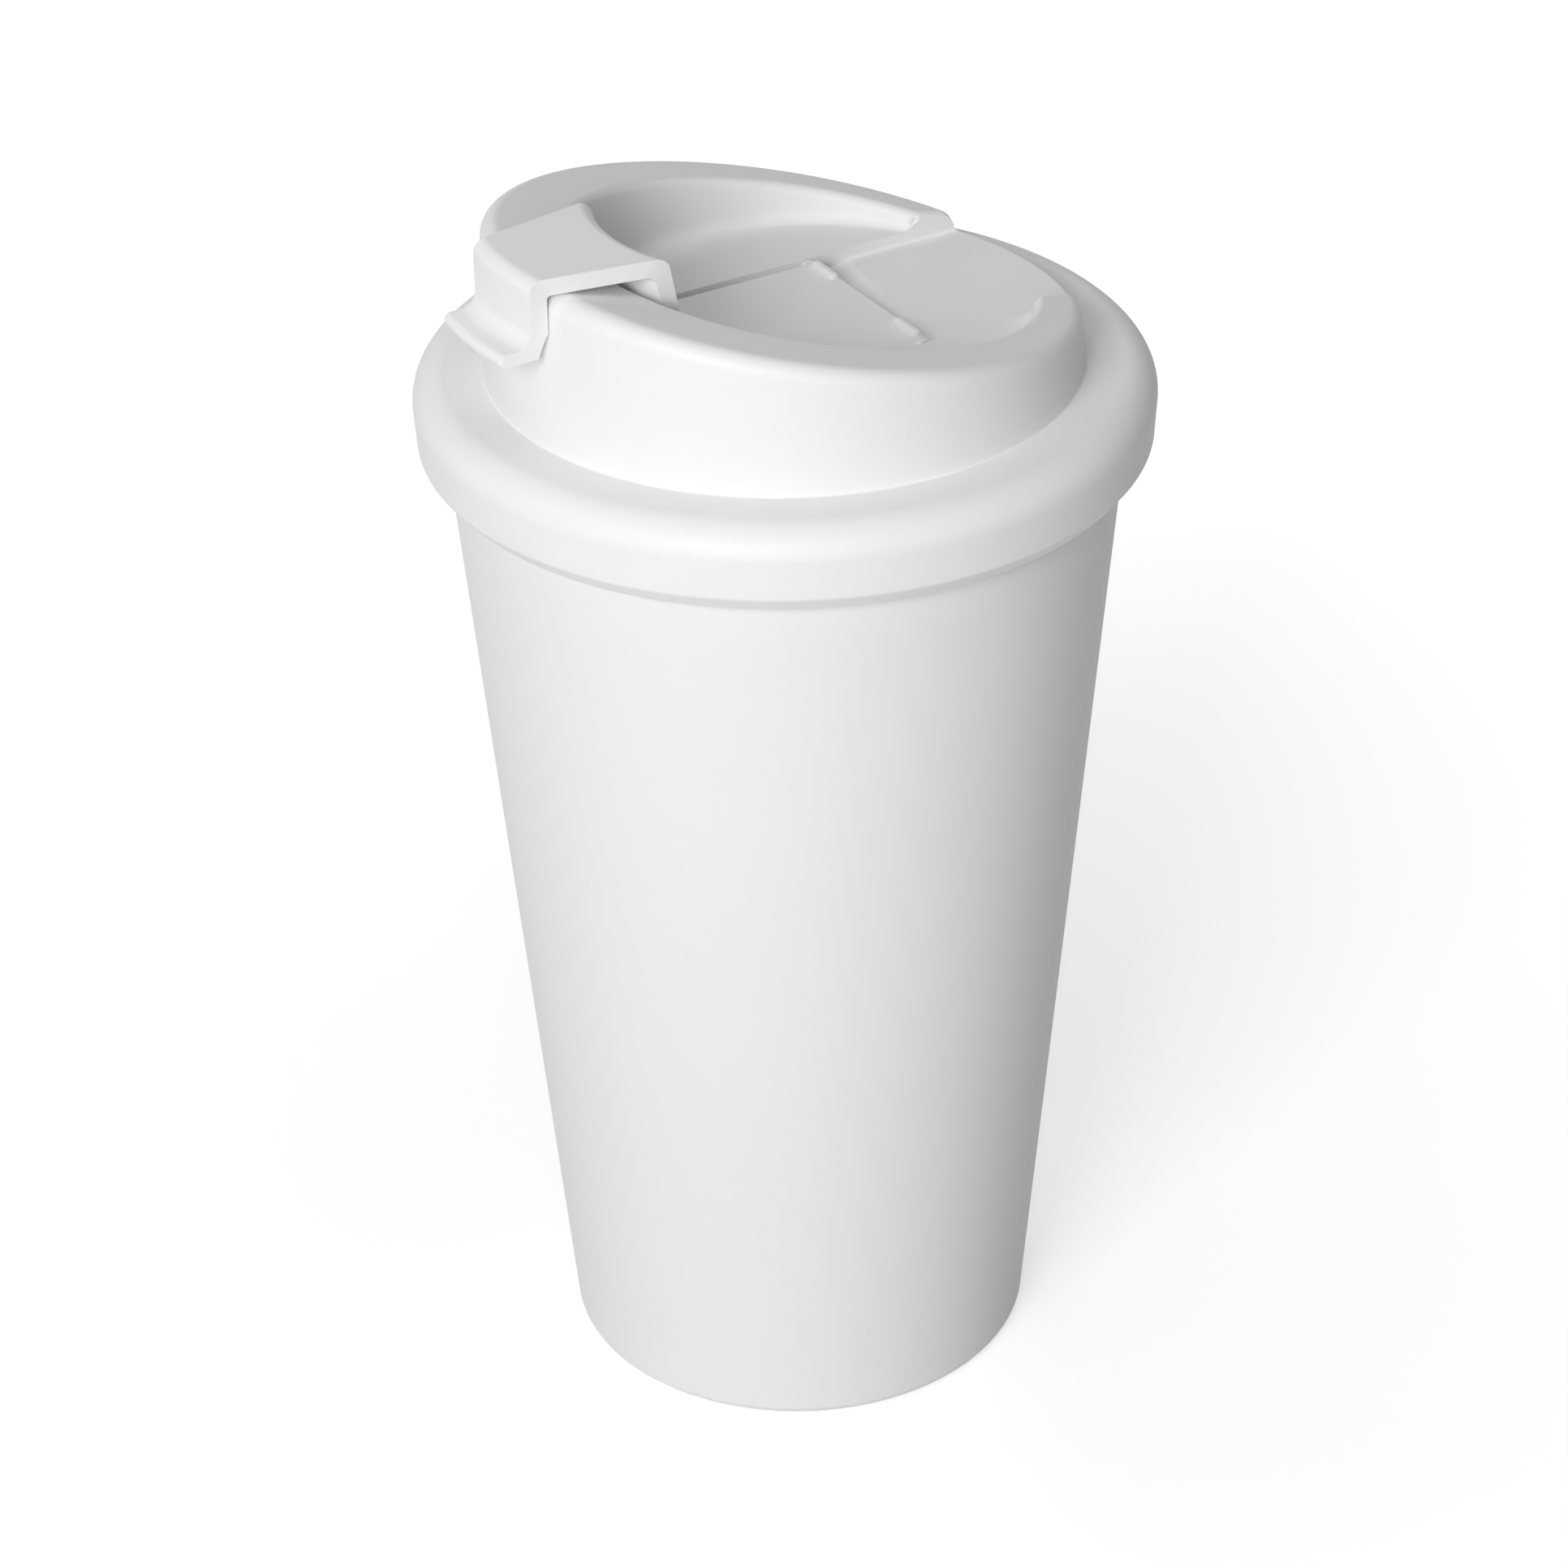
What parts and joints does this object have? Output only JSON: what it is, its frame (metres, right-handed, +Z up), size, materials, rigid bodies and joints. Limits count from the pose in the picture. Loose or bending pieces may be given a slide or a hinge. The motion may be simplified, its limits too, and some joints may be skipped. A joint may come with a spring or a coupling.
{
  "type": "reusable coffee cup with flip lid",
  "caption": "Tapered reusable coffee cup with a press-on lid: rounded skirt, sloping raised rim around a drinking bowl, and a hinged flap that hooks over the rim and folds back.",
  "frame": {"origin": "centre of the base, on the surface that the cup stands on", "axes": "+Z up along the cup's axis; -Y towards the drinking side, where the flap hooks over the rim; +Y towards the hinge and the notch that the flap folds into; +X to the right when the drinking side faces the viewer"},
  "size_m": [0.094, 0.094, 0.1674],
  "materials": {
    "cup": "fine satin white moulded plastic",
    "lid": "fine satin white moulded plastic",
    "flap": "slightly smoother satin white moulded plastic",
    "seal": "soft white food-grade silicone"
  },
  "bodies": {
    "cup": {"cup": "cup"},
    "lid": {"lid": "lid", "seal_ring": "seal"},
    "flap": {"flap": "flap", "stopper": "seal"}
  },
  "joints": [
    {"name": "lid_lift", "type": "slide", "parent": "cup", "child": "lid", "axis": [0, 0, 1], "range_m": [0, 0.03]},
    {"name": "flap_hinge", "type": "hinge", "parent": "lid", "child": "flap", "pos_m": [0, 0.012, 0.1477], "axis": [-1, 0, 0], "range_deg": [0, 168]}
  ]
}
